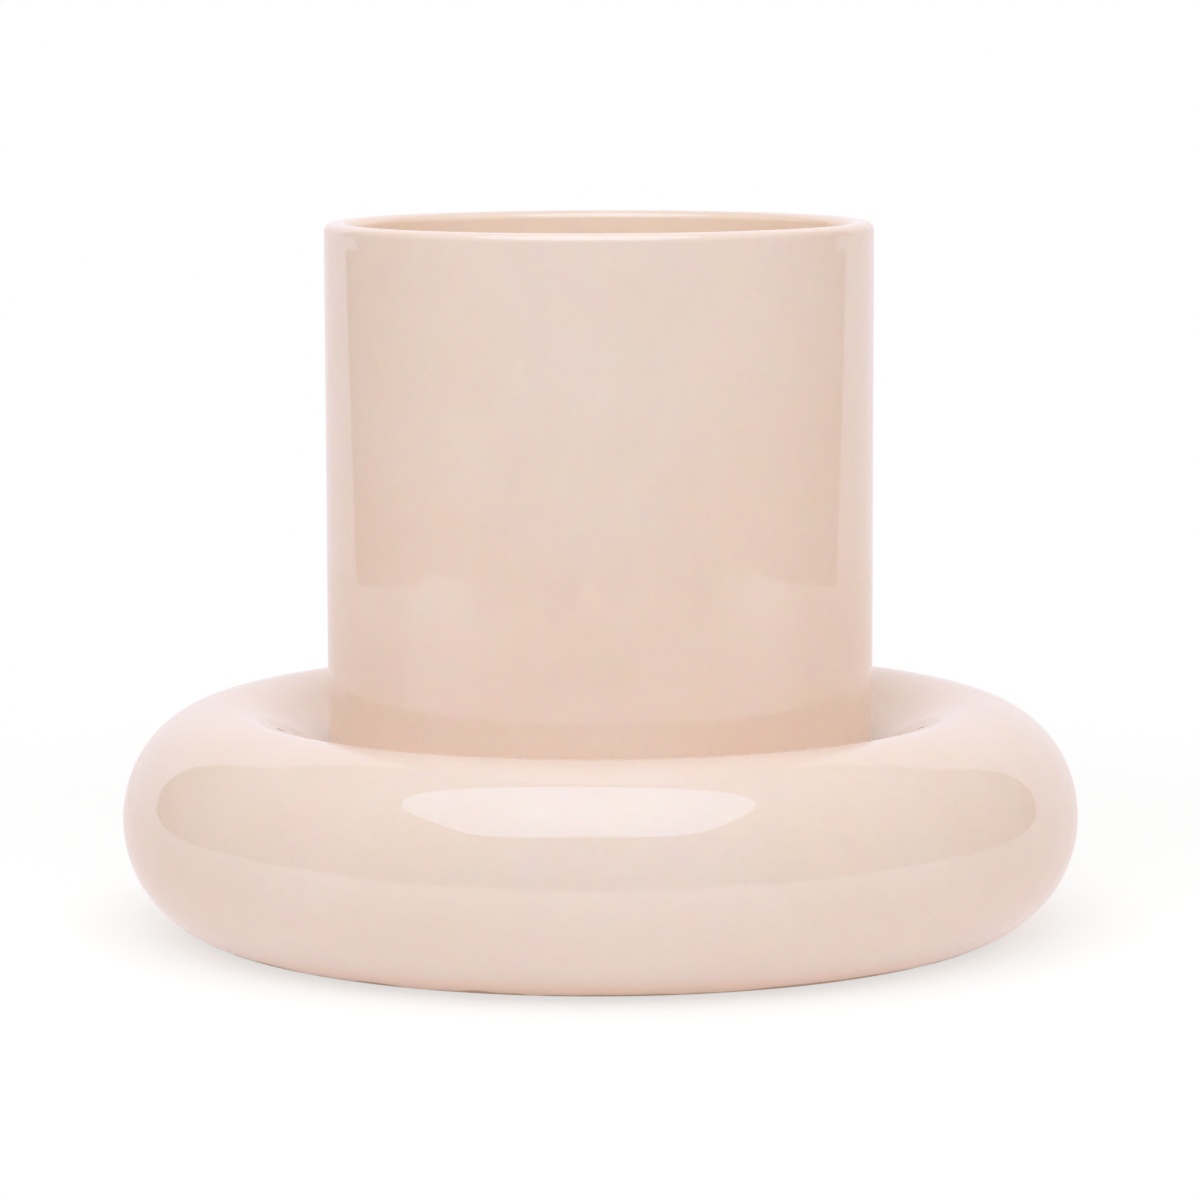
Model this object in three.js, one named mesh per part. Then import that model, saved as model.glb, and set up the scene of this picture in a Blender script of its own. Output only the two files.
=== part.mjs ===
// A chunky flower pot: a straight glazed pot that stands in the well of a thick, ring-shaped saucer.
// Millimetres, +Z up. The origin lies on the surface that the saucer stands on, below the pot's centre.
import * as THREE from "three";

// Driving dimensions of the pot
const POT_DIAMETER = 160; // outside of the straight wall
const POT_HEIGHT = 192; // foot to lip
const POT_WALL = 7; // the lip is rounded over this thickness
const POT_FLOOR = 8;
const POT_FOOT_WIDTH = 12; // flat, unglazed ring under the wall
const POT_FOOT_HEIGHT = 3; // hollow inside that ring, under the floor
const POT_OUTER_CORNER = 6; // radius between the wall and the foot
const POT_INNER_CORNER = 9; // radius between the inside of the wall and the floor

// Driving dimensions of the drain and its rubber plug
const DRAIN_DIAMETER = 20;
const PLUG_FLANGE_DIAMETER = 32;
const PLUG_FLANGE_HEIGHT = 3; // sunk into the floor, so that the plug lies flush
const PLUG_STEM_OVERHANG = 1; // how far the stem reaches below the pot's floor
const PLUG_TAPER = 0.8; // the stem's radius shrinks by this towards its tip
const PLUG_DIMPLE_DIAMETER = 16; // thumb dimple in the plug's top
const PLUG_DIMPLE_DEPTH = 1;
const PLUG_CLEARANCE = 0.3;

// Driving dimensions of the ring saucer
const TUBE_WIDTH = 59.4; // section of the ring, an ellipse
const TUBE_HEIGHT = 65.3; // of the whole ellipse, before its foot is flattened
const POT_CLEARANCE = 1; // between the pot and the hole of the ring
const RING_FOOT_WIDTH = 20; // flat, unglazed band that the ring stands on
const SAUCER_FLOOR = 7;
const SAUCER_FLOOR_RISE = 4; // underside of the floor above the ring's foot
const WELL_FILLET = 5; // radius between the saucer's floor and the ring

// Driving dimensions of the stick-on silicone bumpers
const FOOT_BUMPER_DIAMETER = 10;
const FOOT_BUMPER_HEIGHT = 1;
const FOOT_BUMPER_SETBACK = 4; // from the centre line of the ring's foot towards the pot, out of sight
const FOOT_BUMPER_COUNT = 4;
const SEAT_BUMPER_DIAMETER = 10;
const SEAT_BUMPER_HEIGHT = 1.5;
const SEAT_BUMPER_COUNT = 4;

const SOFT_EDGE = 0.4; // chamfer on the free edges of the bumpers and the plug

// Fineness of the facets
const ROUND_SEGMENTS = 64;
const SMALL_SEGMENTS = 24;
const TUBE_STEPS = 28; // over the visible sweep of the ring's section
const CORNER_STEPS = 5;
const LIP_STEPS = 8;

const QUARTER = Math.PI / 2;
const FIRST_BEARING = Math.PI / 4; // of each set of bumpers

// Places, worked out from the dimensions above
const potRadius = POT_DIAMETER / 2;
const drainRadius = DRAIN_DIAMETER / 2;
const flangeRadius = PLUG_FLANGE_DIAMETER / 2;
const tubeHalfWidth = TUBE_WIDTH / 2;
const tubeHalfHeight = TUBE_HEIGHT / 2;
const tubeRadius = potRadius + POT_CLEARANCE + tubeHalfWidth; // centre line of the ring
const footAngle = Math.acos(RING_FOOT_WIDTH / 2 / tubeHalfWidth); // where the ellipse meets the flat foot
const tubeCentreZ = tubeHalfHeight * Math.sin(footAngle); // above the ring's foot
const footBumperRadius = tubeRadius - FOOT_BUMPER_SETBACK;
const saucerFloorZ = SAUCER_FLOOR_RISE + SAUCER_FLOOR; // top of the floor above the ring's foot
const potFootRadius = potRadius - POT_OUTER_CORNER - POT_FOOT_WIDTH / 2;
const potFloorZ = POT_FOOT_HEIGHT + POT_FLOOR; // inside of the floor above the pot's foot

const point = (radius, height) => new THREE.Vector2(radius, height);

// Points on an arc of an ellipse about (radius, height), both ends included.
function arc(centre, halfWidth, halfHeight, from, to, steps) {
  return Array.from({ length: steps + 1 }, (_, i) => {
    const angle = from + ((to - from) * i) / steps;
    return point(centre.x + halfWidth * Math.cos(angle), centre.y + halfHeight * Math.sin(angle));
  });
}

// The place between low and high where a falling function crosses zero.
function crossing(fall, low, high) {
  for (let i = 0; i < 50; i++) {
    const middle = (low + high) / 2;
    if (fall(middle) > 0) low = middle;
    else high = middle;
  }
  return low;
}

// A solid of revolution about Z, from a half section that runs counter-clockwise round the material.
function turned(section, segments) {
  return new THREE.LatheGeometry(section, segments).rotateX(QUARTER);
}

const glaze = { color: "#e7d2c8", roughness: 0.12, metalness: 0 };
const rubber = { color: "#a89b92", roughness: 0.7, metalness: 0 };
const silicone = { color: "#e6e1da", roughness: 0.4, metalness: 0 };

function piece(name, geometry, finish) {
  const mesh = new THREE.Mesh(geometry, new THREE.MeshStandardMaterial(finish));
  mesh.name = name;
  return mesh;
}

// The pot, from its foot up: straight wall, rounded lip, sunk seat for the plug and drain through the floor.
function potGeometry() {
  const lip = POT_WALL / 2;
  const innerRadius = potRadius - POT_WALL;
  const seatRadius = flangeRadius + PLUG_CLEARANCE;
  const seatZ = potFloorZ - PLUG_FLANGE_HEIGHT;
  const outerCorner = point(potRadius - POT_OUTER_CORNER, POT_OUTER_CORNER);
  const innerCorner = point(innerRadius - POT_INNER_CORNER, potFloorZ + POT_INNER_CORNER);
  const footInside = potFootRadius - POT_FOOT_WIDTH / 2;
  const section = [
    point(drainRadius, seatZ),
    point(drainRadius, POT_FOOT_HEIGHT),
    point(footInside - POT_FOOT_HEIGHT, POT_FOOT_HEIGHT),
    point(footInside, 0),
    ...arc(outerCorner, POT_OUTER_CORNER, POT_OUTER_CORNER, -QUARTER, 0, CORNER_STEPS),
    ...arc(point(potRadius - lip, POT_HEIGHT - lip), lip, lip, 0, Math.PI, LIP_STEPS),
    ...arc(innerCorner, POT_INNER_CORNER, POT_INNER_CORNER, 0, -QUARTER, CORNER_STEPS),
    point(seatRadius, potFloorZ),
    point(seatRadius, seatZ),
  ];
  return turned([...section, section[0]], ROUND_SEGMENTS);
}

// The rubber plug, from its seat in the floor up: flush flange with a thumb dimple, over a tapered stem.
function plugGeometry() {
  const stemRadius = drainRadius - PLUG_CLEARANCE;
  const tipZ = -(POT_FLOOR - PLUG_FLANGE_HEIGHT + PLUG_STEM_OVERHANG);
  const dimpleRadius = PLUG_DIMPLE_DIAMETER / 2;
  const dimple = point(0, PLUG_FLANGE_HEIGHT);
  const section = [
    point(0, tipZ),
    point(stemRadius - PLUG_TAPER - SOFT_EDGE, tipZ),
    point(stemRadius - PLUG_TAPER, tipZ + SOFT_EDGE),
    point(stemRadius, 0),
    point(flangeRadius, 0),
    point(flangeRadius, PLUG_FLANGE_HEIGHT - SOFT_EDGE),
    point(flangeRadius - SOFT_EDGE, PLUG_FLANGE_HEIGHT),
    ...arc(dimple, dimpleRadius, PLUG_DIMPLE_DEPTH, 0, -QUARTER, CORNER_STEPS),
  ];
  return turned(section, SMALL_SEGMENTS);
}

// The ring saucer, from its foot up: the elliptical tube and the floor that closes its hole.
function saucerGeometry() {
  const centre = point(tubeRadius, tubeCentreZ);
  const tubePoint = (angle) => arc(centre, tubeHalfWidth, tubeHalfHeight, angle, angle, 1)[0];
  const outward = (angle) => {
    return point(Math.cos(angle) / tubeHalfWidth, Math.sin(angle) / tubeHalfHeight).normalize();
  };
  // The fillet touches the floor below it and the overhanging inner side of the tube.
  const filletZ = saucerFloorZ + WELL_FILLET;
  const filletCentre = (angle) => tubePoint(angle).addScaledVector(outward(angle), WELL_FILLET);
  const touch = crossing((angle) => filletCentre(angle).y - filletZ, Math.PI, 1.5 * Math.PI);
  const filletEnd = outward(touch).negate().angle();
  const underAngle = Math.PI + Math.asin((tubeCentreZ - SAUCER_FLOOR_RISE) / tubeHalfHeight);
  const section = [
    point(0, SAUCER_FLOOR_RISE),
    ...arc(centre, tubeHalfWidth, tubeHalfHeight, underAngle, Math.PI + footAngle, 2),
    ...arc(centre, tubeHalfWidth, tubeHalfHeight, -footAngle, touch, TUBE_STEPS),
    ...arc(filletCentre(touch), WELL_FILLET, WELL_FILLET, filletEnd, -QUARTER, CORNER_STEPS).slice(1),
    point(0, saucerFloorZ),
  ];
  return turned(section, ROUND_SEGMENTS);
}

// A round stick-on bumper: its glued face is on top, its free face below has a small chamfer.
function bumperGeometry(diameter, height) {
  const radius = diameter / 2;
  const section = [
    point(0, 0),
    point(radius - SOFT_EDGE, 0),
    point(radius, SOFT_EDGE),
    point(radius, height),
    point(0, height),
  ];
  return turned(section, SMALL_SEGMENTS);
}

// A set of equal bumpers on a circle, each its own mesh.
function bumperSet(name, count, diameter, height, circleRadius) {
  const set = new THREE.Group();
  for (let i = 0; i < count; i++) {
    const bearing = FIRST_BEARING + (i * 2 * Math.PI) / count;
    const bumper = piece(`${name}_${i + 1}`, bumperGeometry(diameter, height), silicone);
    bumper.position.set(circleRadius * Math.cos(bearing), circleRadius * Math.sin(bearing), 0);
    set.add(bumper);
  }
  return set;
}

const saucer = new THREE.Group();
const ring = piece("ring_saucer", saucerGeometry(), glaze);
ring.position.z = FOOT_BUMPER_HEIGHT;
saucer.add(ring);
saucer.add(
  bumperSet("foot_bumper", FOOT_BUMPER_COUNT, FOOT_BUMPER_DIAMETER, FOOT_BUMPER_HEIGHT, footBumperRadius),
);

const pot = new THREE.Group();
pot.position.z = FOOT_BUMPER_HEIGHT + saucerFloorZ;
const potBody = piece("pot", potGeometry(), glaze);
potBody.position.z = SEAT_BUMPER_HEIGHT;
const plug = piece("drain_plug", plugGeometry(), rubber);
plug.position.z = SEAT_BUMPER_HEIGHT + potFloorZ - PLUG_FLANGE_HEIGHT;
pot.add(potBody, plug);
pot.add(
  bumperSet("seat_bumper", SEAT_BUMPER_COUNT, SEAT_BUMPER_DIAMETER, SEAT_BUMPER_HEIGHT, potFootRadius),
);

const flowerPot = new THREE.Group();
flowerPot.add(saucer, pot);

export default flowerPot;
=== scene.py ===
"""Looks of a chunky flower pot: a straight, glossy pot that stands in a thick ring saucer, on a white table.

Metres, +Z up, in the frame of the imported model. The camera looks along +Y, as in the photograph.
"""
import math

import bpy
from mathutils import Matrix, Vector


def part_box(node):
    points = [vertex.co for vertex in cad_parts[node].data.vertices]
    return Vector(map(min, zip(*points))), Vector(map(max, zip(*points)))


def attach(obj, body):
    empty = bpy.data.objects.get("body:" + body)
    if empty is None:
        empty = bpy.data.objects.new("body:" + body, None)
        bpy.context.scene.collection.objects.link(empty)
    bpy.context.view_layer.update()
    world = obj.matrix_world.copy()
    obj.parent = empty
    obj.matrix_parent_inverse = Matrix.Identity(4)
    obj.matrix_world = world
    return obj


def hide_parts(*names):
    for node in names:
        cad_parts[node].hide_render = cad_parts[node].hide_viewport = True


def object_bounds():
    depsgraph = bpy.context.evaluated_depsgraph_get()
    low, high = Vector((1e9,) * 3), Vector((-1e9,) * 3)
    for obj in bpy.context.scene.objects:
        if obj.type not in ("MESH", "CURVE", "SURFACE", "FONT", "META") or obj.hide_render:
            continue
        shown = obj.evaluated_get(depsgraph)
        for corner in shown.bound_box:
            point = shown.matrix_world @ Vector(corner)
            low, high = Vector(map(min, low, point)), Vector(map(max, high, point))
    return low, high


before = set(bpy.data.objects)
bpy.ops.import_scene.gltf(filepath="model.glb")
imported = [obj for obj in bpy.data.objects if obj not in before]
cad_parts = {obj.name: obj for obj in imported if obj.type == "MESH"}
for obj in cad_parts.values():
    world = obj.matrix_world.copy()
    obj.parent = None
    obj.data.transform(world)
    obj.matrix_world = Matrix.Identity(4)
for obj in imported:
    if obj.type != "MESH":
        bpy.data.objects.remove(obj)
cad_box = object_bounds()

MM = 0.001
QUARTER = math.pi / 2
LEVEL = (1, 1, 0)  # times a vector, leaves its level part
WHITE = (1, 1, 1)
BLACK = (0, 0, 0)

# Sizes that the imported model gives
GROUND = cad_box[0][2]
POT_LOW, POT_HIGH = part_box("pot")
RING_LOW, RING_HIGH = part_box("ring_saucer")
PLUG_LOW, PLUG_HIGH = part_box("drain_plug")
POT_RADIUS = POT_HIGH.x
RING_RADIUS = RING_HIGH.x
PLUG_RADIUS = PLUG_HIGH.x

# Sizes of the section that the boxes don't give, the same as in the solids
POT_WALL = 7 * MM
POT_FLOOR = 8 * MM
POT_FOOT_WIDTH = 12 * MM
POT_FOOT_HEIGHT = 3 * MM
POT_OUTER_CORNER = 6 * MM
POT_INNER_CORNER = 9 * MM
DRAIN_RADIUS = 10 * MM
PLUG_FLANGE_HEIGHT = 3 * MM
PLUG_CLEARANCE = 0.3 * MM
PLUG_TAPER = 0.8 * MM
PLUG_DIMPLE_RADIUS = 8 * MM
PLUG_DIMPLE_DEPTH = 1 * MM
POT_CLEARANCE = 1 * MM
RING_FOOT_HALF_WIDTH = 10 * MM
SAUCER_FLOOR = 7 * MM
SAUCER_FLOOR_RISE = 4 * MM
WELL_FILLET = 5 * MM

# Small roundings that only the visible surface has
LIP_EDGE = 2.6 * MM  # on both sides of a narrow flat
FOOT_EDGE = 1.2 * MM
RING_FOOT_EDGE = FOOT_EDGE / 2
DRAIN_EDGE = 0.8 * MM
RUBBER_EDGE = 0.7 * MM
FLANGE_UNDER_EDGE = RUBBER_EDGE / 2
GLUED_EDGE = RUBBER_EDGE / 3

# Fineness of the surfaces
ROUND_SEGMENTS = 256
SMALL_SEGMENTS = 64
TABLE_SEGMENTS = 128
SOFTBOX_SEGMENTS = 96
TUBE_STEPS = 144
INNER_FOOT_STEPS = 6
WALL_STEPS = 24
CORNER_STEPS = 12
LIP_STEPS = 14
EDGE_STEPS = 4
HALVINGS = 50  # in the search for the place where the fillet touches the tube

# Tube of the ring, worked out from its box
TUBE_HALF_WIDTH = (RING_RADIUS - POT_RADIUS - POT_CLEARANCE) / 2
TUBE_RADIUS = RING_RADIUS - TUBE_HALF_WIDTH
FOOT_ANGLE = math.acos(RING_FOOT_HALF_WIDTH / TUBE_HALF_WIDTH)
TUBE_HALF_HEIGHT = (RING_HIGH.z - RING_LOW.z) / (1 + math.sin(FOOT_ANGLE))
TUBE_Z = RING_HIGH.z - TUBE_HALF_HEIGHT

# The photograph's view, found by fitting the outline
CAMERA_DISTANCE = 1.3956
CAMERA_RISE = 0.2355  # above the middle of the ring
CAMERA_PITCH = math.radians(7.056)
CAMERA_ROLL = math.radians(-0.159)
CAMERA_LENS = 143.6  # millimetres, as is the sensor
CAMERA_SENSOR = 36.0

# Table: an oval white top with a low rim
TABLE_HALF_SIZE = (0.80, 0.945)
TABLE_PLACE = (0, -0.13)
TABLE_RIM_WIDTH = 20 * MM
TABLE_RIM_HEIGHT = 14 * MM  # at the sides and the back; the front has no rim
TABLE_RIM_START = -0.75  # sine of the bearing where the rim starts to rise
TABLE_RIM_FULL = -0.25
TABLE_ALBEDO = 0.86
TABLE_ROUGHNESS = 0.9
TABLE_SHADOW_SHARE = 0.40  # how much of its own shading the table shows beside the object
TABLE_SHADOW_RADIUS = 0.20  # beyond it the table fades to plain white
TABLE_FADE_WIDTH = 0.25
TABLE_MIRROR_RADIUS = 0.105  # from here on the glaze mirrors a plain table
TABLE_MIRROR_FADE = 0.03
TABLE_NEAR = (0, -0.20)  # the mirrored table brightens from the first y to the second
TABLE_FRONT = (-0.30, -0.85)  # and dims from the first y to the second
TABLE_RAGGED_RADIUS = 0.80  # from about here its front is creased
TABLE_RAGGED_DEPTH = 0.50
TABLE_RAGGED_BLUR = 0.03

# Softbox above and in front of the object
SOFTBOX_HEIGHT = 0.90  # above the middle of the ring
SOFTBOX_PLACE = (-0.085, -0.487)
SOFTBOX_SIZE = (1.15, 1.116)
SOFTBOX_FRONT_POWER = 4.5  # squareness of its front half; 2 is an ellipse
SOFTBOX_BACK_POWER = 2.0
SOFTBOX_EDGE_SHARE = 0.8  # radiance at the edge of the softbox, as a share of its middle

# Room: a white wall behind the object, dimmer sides and front, and a ceiling
WALL_FACING = (0.05, 1, 0)  # a little to the right of straight behind
WALL_EDGE = (  # sine of elevation, seen from the object, and cosine of the wall's half width there
    (-0.120, 0.507),
    (-0.055, 0.615),
    (-0.039, 0.620),
    (-0.033, 0.450),
    (-0.010, 0.560),
    (0.050, 0.652),
    (0.165, 0.690),
    (0.400, 0.728),
)
WALL_EDGE_BLUR = 0.006
WALL_TOP = 1.2  # height of the wall's top edge, as a share of its distance
WALL_TOP_BLUR = 0.012
SIDE_BLEND = (-0.5, 0.5)  # x of the bearing, from the left side to the right
FRONT_BLEND = (-0.5, -1.0)  # y of the bearing, from the sides to the front
CEILING_BLEND = (0.6, 0.9)  # sine of elevation, from the sides to the ceiling

# Light that each part of the studio sends to the object
WALL_LIGHT = (1.35, 1.35, 1.35)
LEFT_LIGHT = (0.54, 0.41, 0.33)
RIGHT_LIGHT = (0.68, 0.52, 0.41)
FRONT_LIGHT = (0.61, 0.64, 0.66)
CEILING_LIGHT = (0.58, 0.68, 0.70)
SOFTBOX_LIGHT = (2.66, 2.76, 2.86)
TABLE_GLOW = 0.14  # light that comes up through the table

# What the glaze mirrors of each part
WALL_MIRRORED = (0.97, 0.90, 0.95)
LEFT_MIRRORED = (0.54, 0.36, 0.24)
RIGHT_MIRRORED = (0.57, 0.39, 0.28)
FRONT_MIRRORED = (0.13, 0.15, 0.23)
CEILING_MIRRORED = (0.62, 0.65, 0.68)
SOFTBOX_MIRRORED = (1.75, 2.45, 3.20)
TABLE_BACK_MIRRORED = (0.95, 0.86, 0.87)
TABLE_NEAR_MIRRORED = (1.16, 1.15, 1.22)
TABLE_FRONT_MIRRORED = (0.62, 0.56, 0.50)

# Colours and finish of the glaze and of the bare clay
GLAZE_DEEP = (0.845, 0.690, 0.605)
GLAZE_PALE = (0.852, 0.704, 0.632)
GLAZE_MOTTLE = (0.165, 0.155, 0.190)  # how far the mottling moves each colour channel
GLAZE_IOR = 1.60
GLAZE_ROUGHNESS = (0.012, 0.030)
GLAZE_WAVE_DEPTH = 0.05 * MM
GLAZE_PEEL_DEPTH = 0.006 * MM
GLAZE_LINE = (2.5 * MM, 2.8 * MM)  # above the foot, from bare clay to glaze
GLAZE_LINE_DEPTH = 3.5 * MM  # how far the ragged line reaches down
SPECK = (0.660, 0.500, 0.410)
SPECK_CELLS = 22  # per metre
SPECK_SIZE = (0.006, 0.011)  # of its cell, to the full speck and to its edge
BARE_CLAY = (0.730, 0.525, 0.380)
BARE_CLAY_GRAIN = tuple(0.86 * c for c in BARE_CLAY)
BARE_CLAY_ROUGHNESS = 0.85

# Tints that multiply the glaze, most of them painted light or shade, and the heights or radii from where
# each starts to where it is full
# painted warm bounce light on the pot's lower half
TINT_WARM_BOUNCE = (1.015, 0.980, 0.940)
# painted light that lifts the shade the ring casts on the pot just above it
TINT_LIFTED_SHADE_POT = (1.11, 1.13, 1.13)
# painted light that lifts the shade inside the pot
TINT_LIFTED_SHADE_INSIDE = (1.14, 1.165, 1.12)
# painted light that lifts the shade on the ring's slope to the pot
TINT_LIFTED_SHADE_SLOPE = (1.14, 1.24, 1.29)
# painted warm bounce light on the ring's lower half, a little darker
TINT_RING_LOW_BOUNCE = (0.992, 0.970, 0.950)
# browner thin glaze over the bare foot, with its red lifted as painted light against the contact shade
TINT_THIN_GLAZE_AND_LIFT = (1.12, 0.97, 0.84)
# heights of the painted warm bounce light on the pot
POT_WARM_BOUNCE = (POT_HIGH.z - 20 * MM, (POT_LOW.z + POT_HIGH.z) / 2 - 20 * MM)
# heights of the painted lift of the shade above the ring
POT_LIFTED_SHADE = (RING_HIGH.z + 24 * MM, RING_HIGH.z - 6 * MM)
# radii of the painted lift of the shade inside the pot
POT_LIFTED_INSIDE = (POT_RADIUS - 0.85 * POT_WALL, POT_RADIUS - POT_WALL)
# radii of the painted lift of the shade on the ring's slope
RING_LIFTED_SLOPE = (TUBE_RADIUS - 0.45 * TUBE_HALF_WIDTH, TUBE_RADIUS - 0.85 * TUBE_HALF_WIDTH)
# heights of the painted warm bounce light on the ring
RING_LOWER_BOUNCE = (TUBE_Z + 6 * MM, TUBE_Z - 10 * MM)
# heights of the thin glaze and of its painted lift
RING_THIN_AND_LIFT = (RING_LOW.z + 7 * MM, RING_LOW.z + 1 * MM)

# Rubber of the plug and silicone of the bumpers
RUBBER_DARK = (0.36, 0.30, 0.26)
RUBBER_DUSTY = (0.44, 0.38, 0.34)
RUBBER_ROUGHNESS = (0.55, 0.75)
RUBBER_GRAIN_DEPTH = 0.05 * MM
SILICONE_DEEP = (0.75, 0.71, 0.66)
SILICONE_PALE = (0.83, 0.80, 0.76)
SILICONE_ROUGHNESS = (0.28, 0.45)
SILICONE_HAZE_DEPTH = 0.03 * MM

# Noises: cells per metre, detail and roughness
CLOUD_NOISE = (26, 3, 0.55)
MOTTLE_NOISE = (90, 6, 1.0)
RAGGED_NOISE = (70, 4, 0.55)
CLAY_NOISE = (900, 3, 0.7)
WAVE_NOISE = (40, 1, 0.5)
PEEL_NOISE = (320, 2, 0.5)
BLOOM_NOISE = (160, 4, 0.6)
RUBBER_NOISE = (2500, 2, 0.5)
HAZE_NOISE = (300, 3, 0.5)
CREASE_NOISE = (4, 5, 0.6)

# Stretches of a noise's values that are spread over the whole of what it drives
NOISE_SPREAD = (0.3, 0.7)
CLOUD_SPREAD = (0.35, 0.65)
CREASE_SPREAD = (0.25, 0.75)

# Colour that a noise of all colours wanders about
NOISE_MIDDLE = (0.5, 0.5, 0.5)


def bearings(count):
    """Angles that divide a full turn evenly."""
    return [2 * math.pi * i / count for i in range(count)]


def arc(centre, half_width, half_height, start, end, steps):
    """Points (radius, height) on an arc of an ellipse, both ends included."""
    points = []
    for i in range(steps + 1):
        angle = start + (end - start) * i / steps
        points.append((centre[0] + half_width * math.cos(angle), centre[1] + half_height * math.sin(angle)))
    return points


def between(start, end, steps):
    """Points that divide a straight stretch evenly, without its ends."""
    points = []
    for i in range(1, steps):
        t = i / steps
        points.append((start[0] + (end[0] - start[0]) * t, start[1] + (end[1] - start[1]) * t))
    return points


def rounded(corner, before, after, radius):
    """A corner of an outline, softened by a small curve between its two neighbours."""
    corner = Vector(corner)
    start = corner + (Vector(before) - corner).normalized() * radius
    end = corner + (Vector(after) - corner).normalized() * radius
    points = []
    for i in range(EDGE_STEPS + 1):
        t = i / EDGE_STEPS
        point = start * (1 - t) ** 2 + corner * 2 * t * (1 - t) + end * t ** 2
        points.append((point.x, point.y))
    return points


def soften(outline, radii):
    """An open outline with softened corners. Each point gives a radius, and 0, as at both ends, keeps it."""
    points = []
    for i, corner in enumerate(outline):
        if radii[i]:
            points += rounded(corner, outline[i - 1], outline[i + 1], radii[i])
        else:
            points.append(corner)
    return points


def add_mesh(name, vertices, faces):
    """A new object in the scene, from its points and faces."""
    mesh = bpy.data.meshes.new(name)
    mesh.from_pydata(vertices, [], faces)
    item = bpy.data.objects.new(name, mesh)
    bpy.context.scene.collection.objects.link(item)
    return item


def turned(name, section, segments, closed, place=(0, 0)):
    """A smooth mesh of revolution about Z from a half section that runs counter-clockwise.

    An open section starts and ends on the axis, and gets one point there.
    """
    rows = section if closed else section[1:-1]
    vertices = []
    for radius, height in rows:
        for angle in bearings(segments):
            x = place[0] + radius * math.cos(angle)
            y = place[1] + radius * math.sin(angle)
            vertices.append((x, y, height))
    faces = []
    for j in range(len(rows) if closed else len(rows) - 1):
        low = j * segments
        high = (j + 1) % len(rows) * segments
        for i in range(segments):
            k = (i + 1) % segments
            faces.append((low + i, low + k, high + k, high + i))
    if not closed:
        first = len(vertices)
        vertices.append((place[0], place[1], section[0][1]))
        vertices.append((place[0], place[1], section[-1][1]))
        top = (len(rows) - 1) * segments
        for i in range(segments):
            k = (i + 1) % segments
            faces.append((first, k, i))
            faces.append((first + 1, top + i, top + k))
    piece = add_mesh(name, vertices, faces)
    piece.data.shade_smooth()
    return piece


def add_piece(piece, material, body, node):
    """Finishes a piece: its material, the body that it rides on and the solid that it stands for."""
    piece.data.materials.append(material)
    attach(piece, body)
    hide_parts(node)


def pot_section():
    """Half section of the pot: foot, straight wall, lip, inside, floor with a sunk seat and the drain."""
    foot, top = POT_LOW.z, POT_HIGH.z
    inner = POT_RADIUS - POT_WALL
    under = foot + POT_FOOT_HEIGHT
    floor = under + POT_FLOOR
    seat = floor - PLUG_FLANGE_HEIGHT
    seat_radius = PLUG_RADIUS + PLUG_CLEARANCE
    foot_outside = POT_RADIUS - POT_OUTER_CORNER
    foot_inside = foot_outside - POT_FOOT_WIDTH
    wall_low = foot + POT_OUTER_CORNER
    wall_high = top - LIP_EDGE
    inside_low = floor + POT_INNER_CORNER
    underside = [
        (DRAIN_RADIUS, seat),
        (DRAIN_RADIUS, under),
        (foot_inside - POT_FOOT_HEIGHT, under),
        (foot_inside, foot),
    ]
    section = soften(underside, [0, DRAIN_EDGE, FOOT_EDGE, 0])
    section += arc((foot_outside, wall_low), POT_OUTER_CORNER, POT_OUTER_CORNER, -QUARTER, 0, CORNER_STEPS)
    section += between((POT_RADIUS, wall_low), (POT_RADIUS, wall_high), WALL_STEPS)
    section += arc((POT_RADIUS - LIP_EDGE, wall_high), LIP_EDGE, LIP_EDGE, 0, QUARTER, LIP_STEPS)
    section += arc((inner + LIP_EDGE, wall_high), LIP_EDGE, LIP_EDGE, QUARTER, math.pi, LIP_STEPS)
    section += between((inner, wall_high), (inner, inside_low), WALL_STEPS)
    corner = (inner - POT_INNER_CORNER, inside_low)
    section += arc(corner, POT_INNER_CORNER, POT_INNER_CORNER, 0, -QUARTER, CORNER_STEPS)
    section += rounded((seat_radius, floor), section[-1], (seat_radius, seat), DRAIN_EDGE)
    section.append((seat_radius, seat))
    return section


def tube_arc(start, end, steps):
    """Points on the ring's section between two angles, both ends included."""
    return arc((TUBE_RADIUS, TUBE_Z), TUBE_HALF_WIDTH, TUBE_HALF_HEIGHT, start, end, steps)


def tube_outward(angle):
    """Unit normal of the tube's section, as (radius, height)."""
    return Vector((math.cos(angle) / TUBE_HALF_WIDTH, math.sin(angle) / TUBE_HALF_HEIGHT)).normalized()


def fillet_centre(angle):
    """Centre of a fillet that touches the tube at that angle."""
    return Vector(tube_arc(angle, angle, 1)[0]) + tube_outward(angle) * WELL_FILLET


def fillet_touch(height):
    """Angle on the tube's inner side where it is touched by a fillet whose centre lies at that height."""
    low, high = math.pi, 1.5 * math.pi
    for _ in range(HALVINGS):
        touch = (low + high) / 2
        if fillet_centre(touch).y > height:
            low = touch
        else:
            high = touch
    return touch


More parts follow.
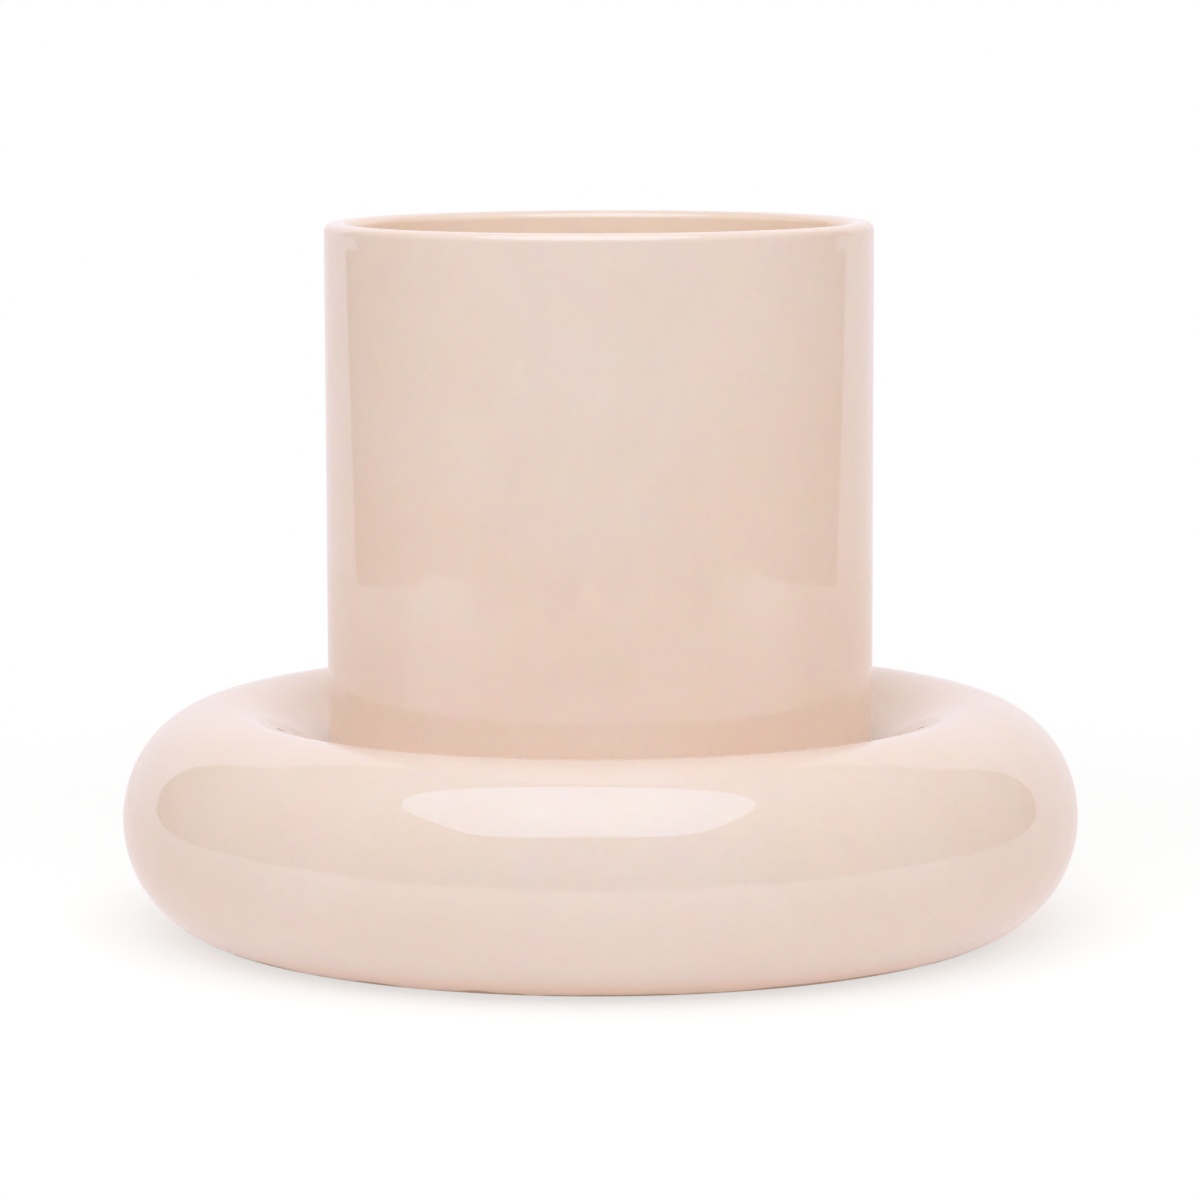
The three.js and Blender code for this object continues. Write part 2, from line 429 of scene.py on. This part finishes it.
def ring_section():
    """Half section of the ring saucer: the tube with its flat foot, and the floor that closes its hole."""
    under = RING_LOW.z + SAUCER_FLOOR_RISE
    floor = under + SAUCER_FLOOR
    touch = fillet_touch(floor + WELL_FILLET)
    inward = -tube_outward(touch)
    fillet_start = math.atan2(inward.y, inward.x)
    under_angle = math.pi + math.asin((TUBE_Z - under) / TUBE_HALF_HEIGHT)
    inner_foot = tube_arc(under_angle, math.pi + FOOT_ANGLE, INNER_FOOT_STEPS)
    outside = tube_arc(-FOOT_ANGLE, touch, TUBE_STEPS)
    fillet = arc(fillet_centre(touch), WELL_FILLET, WELL_FILLET, fillet_start, -QUARTER, CORNER_STEPS)
    # Points between the ends keep the facets of the two flat faces short
    flat_under = [(0, under), (TUBE_RADIUS / 3, under), (TUBE_RADIUS * 2 / 3, under)]
    flat_floor = [(TUBE_RADIUS / 2, floor), (TUBE_RADIUS / 4, floor), (0, floor)]
    radii = [0] * len(flat_under)
    radii += [FOOT_EDGE] + [0] * (len(inner_foot) - 2) + [RING_FOOT_EDGE]
    radii += [RING_FOOT_EDGE, 0]
    underside = soften(flat_under + inner_foot + outside[:2], radii)
    return underside + outside[2:] + fillet[1:] + flat_floor


def plug_section():
    """Half section of the drain plug: tapered stem, sunk flange and a thumb dimple."""
    tip, top = PLUG_LOW.z, PLUG_HIGH.z
    seat = top - PLUG_FLANGE_HEIGHT
    stem = DRAIN_RADIUS - PLUG_CLEARANCE
    outline = [
        (0, tip),
        (stem - PLUG_TAPER, tip),
        (stem, seat),
        (PLUG_RADIUS, seat),
        (PLUG_RADIUS, top),
        (PLUG_DIMPLE_RADIUS + RUBBER_EDGE, top),
    ]
    soft = soften(outline, [0, RUBBER_EDGE, 0, FLANGE_UNDER_EDGE, RUBBER_EDGE, 0])
    dimple = arc((0, top), PLUG_DIMPLE_RADIUS, PLUG_DIMPLE_DEPTH, 0, -QUARTER, CORNER_STEPS)
    return soft + dimple[:-1] + [(0, top - PLUG_DIMPLE_DEPTH)]


def bumper_section(low, high, radius):
    """Half section of a stick-on bumper with a soft free edge below."""
    outline = [(0, low), (radius, low), (radius, high), (0, high)]
    return soften(outline, [0, RUBBER_EDGE, GLUED_EDGE, 0])


def new_material(name):
    """A material, its node tree and its principled shader."""
    material = bpy.data.materials.new(name)
    material.use_nodes = True
    tree = material.node_tree
    return material, tree, tree.nodes["Principled BSDF"]


def own_place(tree):
    """Place of each point in its piece's own coordinates."""
    return tree.nodes.new("ShaderNodeTexCoord").outputs["Object"]


def noise(tree, place, scale, detail, roughness):
    """A noise texture over places; scale is in cells per metre."""
    node = tree.nodes.new("ShaderNodeTexNoise")
    node.inputs["Scale"].default_value = scale
    node.inputs["Detail"].default_value = detail
    node.inputs["Roughness"].default_value = roughness
    tree.links.new(place, node.inputs["Vector"])
    return node


def remap(tree, value, from_low, from_high, to_low, to_high, smooth=False):
    """The value carried from one range to another, held at the ends."""
    node = tree.nodes.new("ShaderNodeMapRange")
    node.interpolation_type = "SMOOTHSTEP" if smooth else "LINEAR"
    node.inputs["From Min"].default_value = from_low
    node.inputs["From Max"].default_value = from_high
    node.inputs["To Min"].default_value = to_low
    node.inputs["To Max"].default_value = to_high
    tree.links.new(value, node.inputs["Value"])
    return node.outputs["Result"]


def fade(tree, value, start, end):
    """A mask that goes smoothly from 0 at the start to 1 at the end; the end may be the lower of the two."""
    return remap(tree, value, start, end, 0, 1, True)


def blend(tree, factor, first, second):
    """A mix of two colours; each is a colour or a node's output."""
    node = tree.nodes.new("ShaderNodeMix")
    node.data_type = "RGBA"
    tree.links.new(factor, node.inputs["Factor"])
    for socket, colour in ((node.inputs["A"], first), (node.inputs["B"], second)):
        if isinstance(colour, tuple):
            socket.default_value = (*colour, 1)
        else:
            tree.links.new(colour, socket)
    return node.outputs["Result"]


def tinted(tree, factor, colour, tint):
    """The colour multiplied by a tint, as far as the factor says."""
    node = tree.nodes.new("ShaderNodeMix")
    node.data_type = "RGBA"
    node.blend_type = "MULTIPLY"
    tree.links.new(factor, node.inputs["Factor"])
    tree.links.new(colour, node.inputs["A"])
    node.inputs["B"].default_value = (*tint, 1)
    return node.outputs["Result"]


def calculated(tree, operation, first, second):
    """One arithmetic step on two outputs."""
    node = tree.nodes.new("ShaderNodeMath")
    node.operation = operation
    tree.links.new(first, node.inputs[0])
    tree.links.new(second, node.inputs[1])
    return node.outputs["Value"]


def either(tree, first, second):
    """1 where one of two masks is 1."""
    return calculated(tree, "MAXIMUM", first, second)


def both(tree, first, second):
    """1 where both of two masks are 1."""
    return calculated(tree, "MULTIPLY", first, second)


def broken_line(tree, value, points):
    """The height at that value of a line through the points, held at its ends."""
    (left, start), (right, end) = points[:2]
    height = remap(tree, value, left, right, start, end)
    for (left, start), (right, end) in zip(points[1:], points[2:]):
        rise = remap(tree, value, left, right, 0, end - start)
        height = calculated(tree, "ADD", height, rise)
    return height


def vector_step(tree, operation, vector, fixed=None):
    """A node of vector arithmetic on an output, with a fixed vector where it takes a second one."""
    node = tree.nodes.new("ShaderNodeVectorMath")
    node.operation = operation
    tree.links.new(vector, node.inputs[0])
    if fixed:
        node.inputs[1].default_value = fixed
    return node


def split(tree, vector):
    """The outputs X, Y and Z of a vector."""
    node = tree.nodes.new("ShaderNodeSeparateXYZ")
    tree.links.new(vector, node.inputs["Vector"])
    return node.outputs


def length(tree, vector):
    """Length of a vector."""
    return vector_step(tree, "LENGTH", vector).outputs["Value"]


def axis_distance(tree, place):
    """Distance from the pot's axis."""
    return length(tree, vector_step(tree, "MULTIPLY", place, LEVEL).outputs["Vector"])


def bump(tree, height, distance, normal=None):
    """A bump of the given depth in metres."""
    node = tree.nodes.new("ShaderNodeBump")
    node.inputs["Distance"].default_value = distance
    tree.links.new(height, node.inputs["Height"])
    if normal:
        tree.links.new(normal, node.inputs["Normal"])
    return node.outputs["Normal"]


def mirrored_rays(tree, path):
    """1 for a ray that a glossy surface mirrors or lets through."""
    return either(tree, path["Is Glossy Ray"], path["Is Transmission Ray"])


def mottled_glaze(tree, place):
    """Deep and pale clouds, with a finer mottling of all colours and a few faint specks."""
    clouds = noise(tree, place, *CLOUD_NOISE).outputs["Fac"]
    colour = blend(tree, fade(tree, clouds, *CLOUD_SPREAD), GLAZE_DEEP, GLAZE_PALE)
    grain = noise(tree, place, *MOTTLE_NOISE).outputs["Color"]
    shift = vector_step(tree, "SUBTRACT", grain, NOISE_MIDDLE)
    mottled = vector_step(tree, "MULTIPLY_ADD", shift.outputs["Vector"], GLAZE_MOTTLE)
    tree.links.new(colour, mottled.inputs[2])
    cells = tree.nodes.new("ShaderNodeTexVoronoi")
    cells.inputs["Scale"].default_value = SPECK_CELLS
    tree.links.new(place, cells.inputs["Vector"])
    specks = remap(tree, cells.outputs["Distance"], *SPECK_SIZE, 1, 0)
    return blend(tree, specks, mottled.outputs["Vector"], SPECK)


def pot_painted_light(tree, place, colour):
    """Painted light on the pot's glaze: warm bounce light on its lower half, a painted lift of the shade
    just above the ring, and a painted lift of the shade inside.
    """
    height = split(tree, place)["Z"]
    colour = tinted(tree, fade(tree, height, *POT_WARM_BOUNCE), colour, TINT_WARM_BOUNCE)
    colour = tinted(tree, fade(tree, height, *POT_LIFTED_SHADE), colour, TINT_LIFTED_SHADE_POT)
    return tinted(tree, fade(tree, axis_distance(tree, place), *POT_LIFTED_INSIDE), colour, TINT_LIFTED_SHADE_INSIDE)


def ring_painted_light_and_thin_glaze(tree, place, colour):
    """Painted light on the ring's glaze: a painted lift of the shade on the slope to the pot, painted warm
    bounce light low down, and above the bare foot a browner thin glaze whose red is lifted against the
    contact shade.
    """
    height = split(tree, place)["Z"]
    colour = tinted(tree, fade(tree, axis_distance(tree, place), *RING_LIFTED_SLOPE), colour, TINT_LIFTED_SHADE_SLOPE)
    colour = tinted(tree, fade(tree, height, *RING_LOWER_BOUNCE), colour, TINT_RING_LOW_BOUNCE)
    return tinted(tree, fade(tree, height, *RING_THIN_AND_LIFT), colour, TINT_THIN_GLAZE_AND_LIFT)


def glaze_mask(tree, place, ragged, foot):
    """1 where there is glaze, which ends in a ragged line just above the foot."""
    line = tree.nodes.new("ShaderNodeMath")
    line.operation = "MULTIPLY_ADD"
    tree.links.new(ragged, line.inputs[0])
    line.inputs[1].default_value = GLAZE_LINE_DEPTH
    tree.links.new(split(tree, place)["Z"], line.inputs[2])
    bare, full = GLAZE_LINE
    return remap(tree, line.outputs["Value"], foot + bare, foot + full, 0, 1)


def glaze_roughness(tree, glazed, ragged):
    """Glossy glaze with small differences in gloss, and matt clay."""
    matt = tree.nodes.new("ShaderNodeMix")
    tree.links.new(glazed, matt.inputs["Factor"])
    matt.inputs["A"].default_value = BARE_CLAY_ROUGHNESS
    tree.links.new(remap(tree, ragged, *NOISE_SPREAD, *GLAZE_ROUGHNESS), matt.inputs["B"])
    return matt.outputs["Result"]


def glaze_relief(tree, place):
    """Long, shallow waves with a fine orange peel on them."""
    waves = noise(tree, place, *WAVE_NOISE).outputs["Fac"]
    peel = noise(tree, place, *PEEL_NOISE).outputs["Fac"]
    return bump(tree, peel, GLAZE_PEEL_DEPTH, bump(tree, waves, GLAZE_WAVE_DEPTH))


def glaze_material(name, foot, tints):
    """Glossy mottled glaze that stops just above the bare clay of the foot, at that height."""
    material, tree, shader = new_material(name)
    place = own_place(tree)
    colour = tints(tree, place, mottled_glaze(tree, place))
    ragged = noise(tree, place, *RAGGED_NOISE).outputs["Fac"]
    glazed = glaze_mask(tree, place, ragged, foot)
    grain = noise(tree, place, *CLAY_NOISE).outputs["Fac"]
    clay = blend(tree, grain, BARE_CLAY, BARE_CLAY_GRAIN)
    tree.links.new(blend(tree, glazed, clay, colour), shader.inputs["Base Color"])
    tree.links.new(glaze_roughness(tree, glazed, ragged), shader.inputs["Roughness"])
    tree.links.new(glaze_relief(tree, place), shader.inputs["Normal"])
    shader.inputs["IOR"].default_value = GLAZE_IOR
    return material


def rubber_material():
    """Matt moulded rubber with a dusty bloom."""
    material, tree, shader = new_material("rubber")
    place = own_place(tree)
    bloom = noise(tree, place, *BLOOM_NOISE).outputs["Fac"]
    grain = noise(tree, place, *RUBBER_NOISE).outputs["Fac"]
    tree.links.new(blend(tree, bloom, RUBBER_DARK, RUBBER_DUSTY), shader.inputs["Base Color"])
    tree.links.new(remap(tree, bloom, *NOISE_SPREAD, *RUBBER_ROUGHNESS), shader.inputs["Roughness"])
    tree.links.new(bump(tree, grain, RUBBER_GRAIN_DEPTH), shader.inputs["Normal"])
    return material


def silicone_material():
    """Milky silicone with a faint haze."""
    material, tree, shader = new_material("silicone")
    haze = noise(tree, own_place(tree), *HAZE_NOISE).outputs["Fac"]
    tree.links.new(blend(tree, haze, SILICONE_DEEP, SILICONE_PALE), shader.inputs["Base Color"])
    tree.links.new(remap(tree, haze, *NOISE_SPREAD, *SILICONE_ROUGHNESS), shader.inputs["Roughness"])
    tree.links.new(bump(tree, haze, SILICONE_HAZE_DEPTH), shader.inputs["Normal"])
    return material


def table_image(tree, place):
    """What the glaze mirrors of the table: brightest near the object, dim and creased in front."""
    along = split(tree, place)["Y"]
    front = fade(tree, along, *TABLE_FRONT)
    image = blend(tree, fade(tree, along, *TABLE_NEAR), TABLE_BACK_MIRRORED, TABLE_NEAR_MIRRORED)
    image = blend(tree, front, image, TABLE_FRONT_MIRRORED)
    from_middle = vector_step(tree, "DISTANCE", place, (*TABLE_PLACE, GROUND)).outputs["Value"]
    creases = noise(tree, place, *CREASE_NOISE).outputs["Fac"]
    half_depth = TABLE_RAGGED_DEPTH / 2
    creases = remap(tree, creases, *CREASE_SPREAD, -half_depth, half_depth)
    reach = calculated(tree, "ADD", from_middle, creases)
    ragged = fade(tree, reach, TABLE_RAGGED_RADIUS, TABLE_RAGGED_RADIUS + TABLE_RAGGED_BLUR)
    return blend(tree, both(tree, front, ragged), image, FRONT_MIRRORED)


def table_material():
    """White table that keeps the object's shadow, and fades to plain white away from it."""
    material, tree, shader = new_material("table_white")
    material.cycles.emission_sampling = "NONE"
    shader.inputs["Base Color"].default_value = (TABLE_ALBEDO, TABLE_ALBEDO, TABLE_ALBEDO, 1)
    shader.inputs["Roughness"].default_value = TABLE_ROUGHNESS
    shader.inputs["Specular IOR Level"].default_value = 0
    shader.inputs["Emission Color"].default_value = (*WHITE, 1)
    shader.inputs["Emission Strength"].default_value = TABLE_GLOW
    place = own_place(tree)
    distance = length(tree, place)
    shadow_end = TABLE_SHADOW_RADIUS + TABLE_FADE_WIDTH
    away = remap(tree, distance, TABLE_SHADOW_RADIUS, shadow_end, 1 - TABLE_SHADOW_SHARE, 1, True)
    mirror_away = fade(tree, distance, TABLE_MIRROR_RADIUS, TABLE_MIRROR_RADIUS + TABLE_MIRROR_FADE)
    path = tree.nodes.new("ShaderNodeLightPath").outputs
    mirrored = mirrored_rays(tree, path)
    plain = either(tree, both(tree, path["Is Camera Ray"], away), both(tree, mirrored, mirror_away))
    white = tree.nodes.new("ShaderNodeEmission")
    tree.links.new(blend(tree, mirrored, WHITE, table_image(tree, place)), white.inputs["Color"])
    mix = tree.nodes.new("ShaderNodeMixShader")
    tree.links.new(plain, mix.inputs["Fac"])
    tree.links.new(shader.outputs["BSDF"], mix.inputs[1])
    tree.links.new(white.outputs["Emission"], mix.inputs[2])
    tree.links.new(mix.outputs["Shader"], tree.nodes["Material Output"].inputs["Surface"])
    return material


def add_table():
    """Oval white table, with a low rim that rises towards its sides and its back."""
    edge = []
    rim = []
    faces = [tuple(range(TABLE_SEGMENTS))]
    for i, angle in enumerate(bearings(TABLE_SEGMENTS)):
        across, along = math.cos(angle), math.sin(angle)
        x = TABLE_PLACE[0] + TABLE_HALF_SIZE[0] * across
        y = TABLE_PLACE[1] + TABLE_HALF_SIZE[1] * along
        share = (along - TABLE_RIM_START) / (TABLE_RIM_FULL - TABLE_RIM_START)
        rise = TABLE_RIM_HEIGHT * min(1, max(0, share))
        edge.append((x, y, GROUND))
        rim.append((x + TABLE_RIM_WIDTH * across, y + TABLE_RIM_WIDTH * along, GROUND + rise))
        k = (i + 1) % TABLE_SEGMENTS
        faces.append((i, TABLE_SEGMENTS + i, TABLE_SEGMENTS + k, k))
    table = add_mesh("table", edge + rim, faces)
    table.data.materials.append(table_material())


def room_masks(tree, direction):
    """Where the room's right side, front, ceiling and back wall lie, for each direction from the object."""
    elevation = split(tree, direction)["Z"]
    level = vector_step(tree, "MULTIPLY", direction, LEVEL).outputs["Vector"]
    bearing = vector_step(tree, "NORMALIZE", level).outputs["Vector"]
    sides = split(tree, bearing)
    right = fade(tree, sides["X"], *SIDE_BLEND)
    front = fade(tree, sides["Y"], *FRONT_BLEND)
    ceiling = fade(tree, elevation, *CEILING_BLEND)
    facing = vector_step(tree, "DOT_PRODUCT", bearing, WALL_FACING).outputs["Value"]
    past_edge = calculated(tree, "SUBTRACT", facing, broken_line(tree, elevation, WALL_EDGE))
    behind = fade(tree, past_edge, -WALL_EDGE_BLUR, WALL_EDGE_BLUR)
    top_edge = (WALL_TOP * WALL_FACING[0], WALL_TOP * WALL_FACING[1], -1)
    below_top = vector_step(tree, "DOT_PRODUCT", direction, top_edge).outputs["Value"]
    under = fade(tree, below_top, -WALL_TOP_BLUR, WALL_TOP_BLUR)
    return right, front, ceiling, both(tree, behind, under)


def room(tree, masks, left_colour, right_colour, front_colour, ceiling_colour, wall_colour):
    """Colour of the room in each direction; the back wall stands before its other parts."""
    right, front, ceiling, wall = masks
    colour = blend(tree, right, left_colour, right_colour)
    colour = blend(tree, front, colour, front_colour)
    colour = blend(tree, ceiling, colour, ceiling_colour)
    return blend(tree, wall, colour, wall_colour)


def add_world():
    """White wall behind the object and a dimmer room round it; the camera sees plain white."""
    world = bpy.data.worlds.new("studio")
    bpy.context.scene.world = world
    world.cycles.sampling_method = "NONE"
    world.use_nodes = True
    tree = world.node_tree
    masks = room_masks(tree, tree.nodes.new("ShaderNodeTexCoord").outputs["Generated"])
    light = room(tree, masks, LEFT_LIGHT, RIGHT_LIGHT, FRONT_LIGHT, CEILING_LIGHT, WALL_LIGHT)
    image = room(
        tree, masks, LEFT_MIRRORED, RIGHT_MIRRORED, FRONT_MIRRORED, CEILING_MIRRORED, WALL_MIRRORED
    )
    path = tree.nodes.new("ShaderNodeLightPath").outputs
    colour = blend(tree, mirrored_rays(tree, path), light, image)
    colour = blend(tree, path["Is Camera Ray"], colour, WHITE)
    tree.links.new(colour, tree.nodes["Background"].inputs["Color"])


def softbox_material():
    """Light of the softbox, a little brighter in its middle."""
    material, tree, shader = new_material("softbox_light")
    shader.inputs["Base Color"].default_value = (*BLACK, 1)
    shader.inputs["Specular IOR Level"].default_value = 0
    shader.inputs["Emission Strength"].default_value = 1
    reach = length(tree, own_place(tree))
    edge = remap(tree, reach, 0, SOFTBOX_SIZE[0] / 2, 0, 1 - SOFTBOX_EDGE_SHARE, True)
    path = tree.nodes.new("ShaderNodeLightPath").outputs
    colour = blend(tree, path["Is Glossy Ray"], SOFTBOX_LIGHT, SOFTBOX_MIRRORED)
    tree.links.new(blend(tree, edge, colour, BLACK), shader.inputs["Emission Color"])
    return material


def add_softbox():
    """Softbox above and in front of the object, squarish in front and round at its back."""
    outline = []
    for angle in bearings(SOFTBOX_SEGMENTS):
        power = SOFTBOX_FRONT_POWER if angle > math.pi else SOFTBOX_BACK_POWER
        across = math.copysign(abs(math.cos(angle)) ** (2 / power), math.cos(angle))
        along = math.copysign(abs(math.sin(angle)) ** (2 / power), math.sin(angle))
        outline.append((across * SOFTBOX_SIZE[0] / 2, along * SOFTBOX_SIZE[1] / 2, 0))
    softbox = add_mesh("softbox", outline, [tuple(range(SOFTBOX_SEGMENTS))])
    softbox.location = (*SOFTBOX_PLACE, TUBE_Z + SOFTBOX_HEIGHT)
    softbox.visible_camera = False
    softbox.data.materials.append(softbox_material())


def add_camera():
    """The photograph's camera."""
    data = bpy.data.cameras.new("camera")
    data.lens = CAMERA_LENS
    data.sensor_width = CAMERA_SENSOR
    camera = bpy.data.objects.new("camera", data)
    place = Matrix.Translation((0, -CAMERA_DISTANCE, TUBE_Z + CAMERA_RISE))
    tilt = Matrix.Rotation(QUARTER - CAMERA_PITCH, 4, "X")
    camera.matrix_world = place @ tilt @ Matrix.Rotation(CAMERA_ROLL, 4, "Z")
    bpy.context.scene.collection.objects.link(camera)
    bpy.context.scene.camera = camera


def add_bumpers(prefix, body, material):
    """A modelled bumper in place of each solid of a set."""
    for node in sorted(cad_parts):
        if node.startswith(prefix):
            low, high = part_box(node)
            middle = (low + high) / 2
            section = bumper_section(low.z, high.z, (high.x - low.x) / 2)
            bumper = turned(f"{node}_soft", section, SMALL_SEGMENTS, False, (middle.x, middle.y))
            add_piece(bumper, material, body, node)


# Studio
add_camera()
add_world()
add_softbox()
add_table()

# Pieces
pot = turned("glazed_pot", pot_section(), ROUND_SEGMENTS, True)
add_piece(pot, glaze_material("pot_glaze", POT_LOW.z, pot_painted_light), "pot", "pot")
ring = turned("glazed_ring", ring_section(), ROUND_SEGMENTS, False)
add_piece(ring, glaze_material("ring_glaze", RING_LOW.z, ring_painted_light_and_thin_glaze), "saucer", "ring_saucer")
plug = turned("moulded_plug", plug_section(), SMALL_SEGMENTS, False)
add_piece(plug, rubber_material(), "plug", "drain_plug")
milky = silicone_material()
add_bumpers("foot_bumper", "saucer", milky)
add_bumpers("seat_bumper", "pot", milky)

bpy.context.scene.view_settings.view_transform = "Standard"
